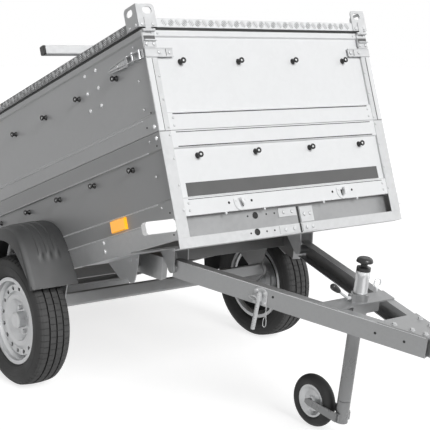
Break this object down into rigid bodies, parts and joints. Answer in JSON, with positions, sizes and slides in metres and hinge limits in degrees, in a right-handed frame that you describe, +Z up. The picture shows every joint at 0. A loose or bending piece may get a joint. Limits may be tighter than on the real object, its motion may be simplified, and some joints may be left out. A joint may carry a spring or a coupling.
{
  "type": "utility trailer",
  "caption": "Tipping single-axle box trailer with ribbed galvanised walls, hinged aluminium lid with roof bars, drop tailgates, folding A-frame drawbar and jockey wheel.",
  "frame": {"origin": "on the ground, under the middle of the whole outline's length and width", "axes": "+X forward, towards the coupling; +Y to the trailer's left; +Z up. The box is tipped back on its tail about 19 degrees, with the drawbar folded 26 degrees against it."},
  "size_m": [3.2166, 1.52, 1.5457],
  "materials": {
    "zinc_wall": "galvanised sheet, satin",
    "zinc_frame": "hot-dip galvanised, satin",
    "lid_plate": "chequered plate, satin",
    "floor_ply": "coated plywood, matte",
    "seal_rubber": "matte",
    "tyre_rubber": "matte",
    "rim_silver": "silver, semi-gloss",
    "guard_plastic": "matte, fine grain",
    "black_plastic": "satin",
    "coupling_steel": "zinc plated",
    "knob_black": "satin",
    "reflector_amber": "gloss",
    "lamp_white": "gloss",
    "lamp_red": "gloss"
  },
  "bodies": {
    "bed": {"right_lower_side": "zinc_wall", "left_lower_side": "zinc_wall", "front_lower_wall": "zinc_wall", "right_upper_side": "zinc_wall", "left_upper_side": "zinc_wall", "front_upper_wall": "zinc_wall", "floor_board": "floor_ply", "front_left_post": "zinc_frame", "front_right_post": "zinc_frame", "rear_left_post": "zinc_frame", "rear_right_post": "zinc_frame", "left_rail": "zinc_frame", "right_rail": "zinc_frame", "front_rail": "zinc_frame", "rear_rail": "zinc_frame", "front_beam": "zinc_frame", "middle_beams": "zinc_frame", "pivot_mount": "zinc_frame", "lid_seal": "seal_rubber", "lid_hinge_bases": "zinc_frame", "bed_studs": "knob_black", "corner_latches": "zinc_frame", "front_straps": "zinc_frame", "front_lugs": "zinc_frame", "side_reflectors": "reflector_amber", "front_lamps": "lamp_white", "tail_beam": "zinc_frame", "tail_lamps": "lamp_red", "axle_tube": "zinc_frame", "swing_arms": "zinc_frame", "mudguards": "guard_plastic"},
    "lid": {"lid_panel": "lid_plate", "lid_corners": "zinc_frame", "roof_bars": "zinc_frame", "roof_bar_caps": "black_plastic", "lid_hinge_leaves": "zinc_frame"},
    "lower_gate": {"lower_tailgate": "zinc_wall", "lower_tailgate_studs": "knob_black"},
    "upper_gate": {"upper_tailgate": "zinc_wall", "upper_tailgate_studs": "knob_black"},
    "left_wheel": {"left_tyre": "tyre_rubber", "left_rim": "rim_silver"},
    "right_wheel": {"right_tyre": "tyre_rubber", "right_rim": "rim_silver"},
    "drawbar": {"left_arm": "zinc_frame", "right_arm": "zinc_frame", "cross_plate": "zinc_frame", "clamp_lever": "zinc_frame", "nose_plate": "zinc_frame", "coupling_head": "coupling_steel", "coupling_handle": "coupling_steel", "tilt_latches": "zinc_frame"},
    "jockey_mast": {"jockey_tube": "zinc_frame", "jockey_knob": "black_plastic"},
    "jockey_caster": {"jockey_fork": "zinc_frame"},
    "jockey_wheel": {"jockey_tyre": "tyre_rubber", "jockey_rim": "rim_silver"}
  },
  "joints": [
    {"name": "lid_hinge", "type": "hinge", "parent": "bed", "child": "lid", "pos_m": [0.38705, 0, 1.45489], "axis": [0, 1, 0], "range_deg": [0, 60]},
    {"name": "lower_gate_hinge", "type": "hinge", "parent": "bed", "child": "lower_gate", "pos_m": [-1.34697, 0, 0.17148], "axis": [0, 1, 0], "range_deg": [-90, 0]},
    {"name": "upper_gate_hinge", "type": "hinge", "parent": "bed", "child": "upper_gate", "pos_m": [-1.44598, 0, 0.46102], "axis": [0, 1, 0], "range_deg": [-90, 0]},
    {"name": "drawbar_tilt", "type": "hinge", "parent": "bed", "child": "drawbar", "pos_m": [0.31149, 0, 0.56634], "axis": [0, 1, 0], "range_deg": [-26, 0]},
    {"name": "left_wheel_spin", "type": "hinge", "parent": "bed", "child": "left_wheel", "pos_m": [-0.30478, 0.66, 0.27], "axis": [0, 1, 0], "continuous": true},
    {"name": "right_wheel_spin", "type": "hinge", "parent": "bed", "child": "right_wheel", "pos_m": [-0.30478, -0.66, 0.27], "axis": [0, 1, 0], "continuous": true},
    {"name": "jockey_slide", "type": "slide", "parent": "drawbar", "child": "jockey_mast", "axis": [0.124, 0, 0.9923], "range_m": [0, 0.2]},
    {"name": "jockey_swivel", "type": "hinge", "parent": "jockey_mast", "child": "jockey_caster", "pos_m": [0.8879, 0, 0.14665], "axis": [0.124, 0, 0.9923], "continuous": true},
    {"name": "jockey_wheel_spin", "type": "hinge", "parent": "jockey_caster", "child": "jockey_wheel", "pos_m": [0.73695, 0, 0.1], "axis": [0, 1, 0], "continuous": true}
  ]
}
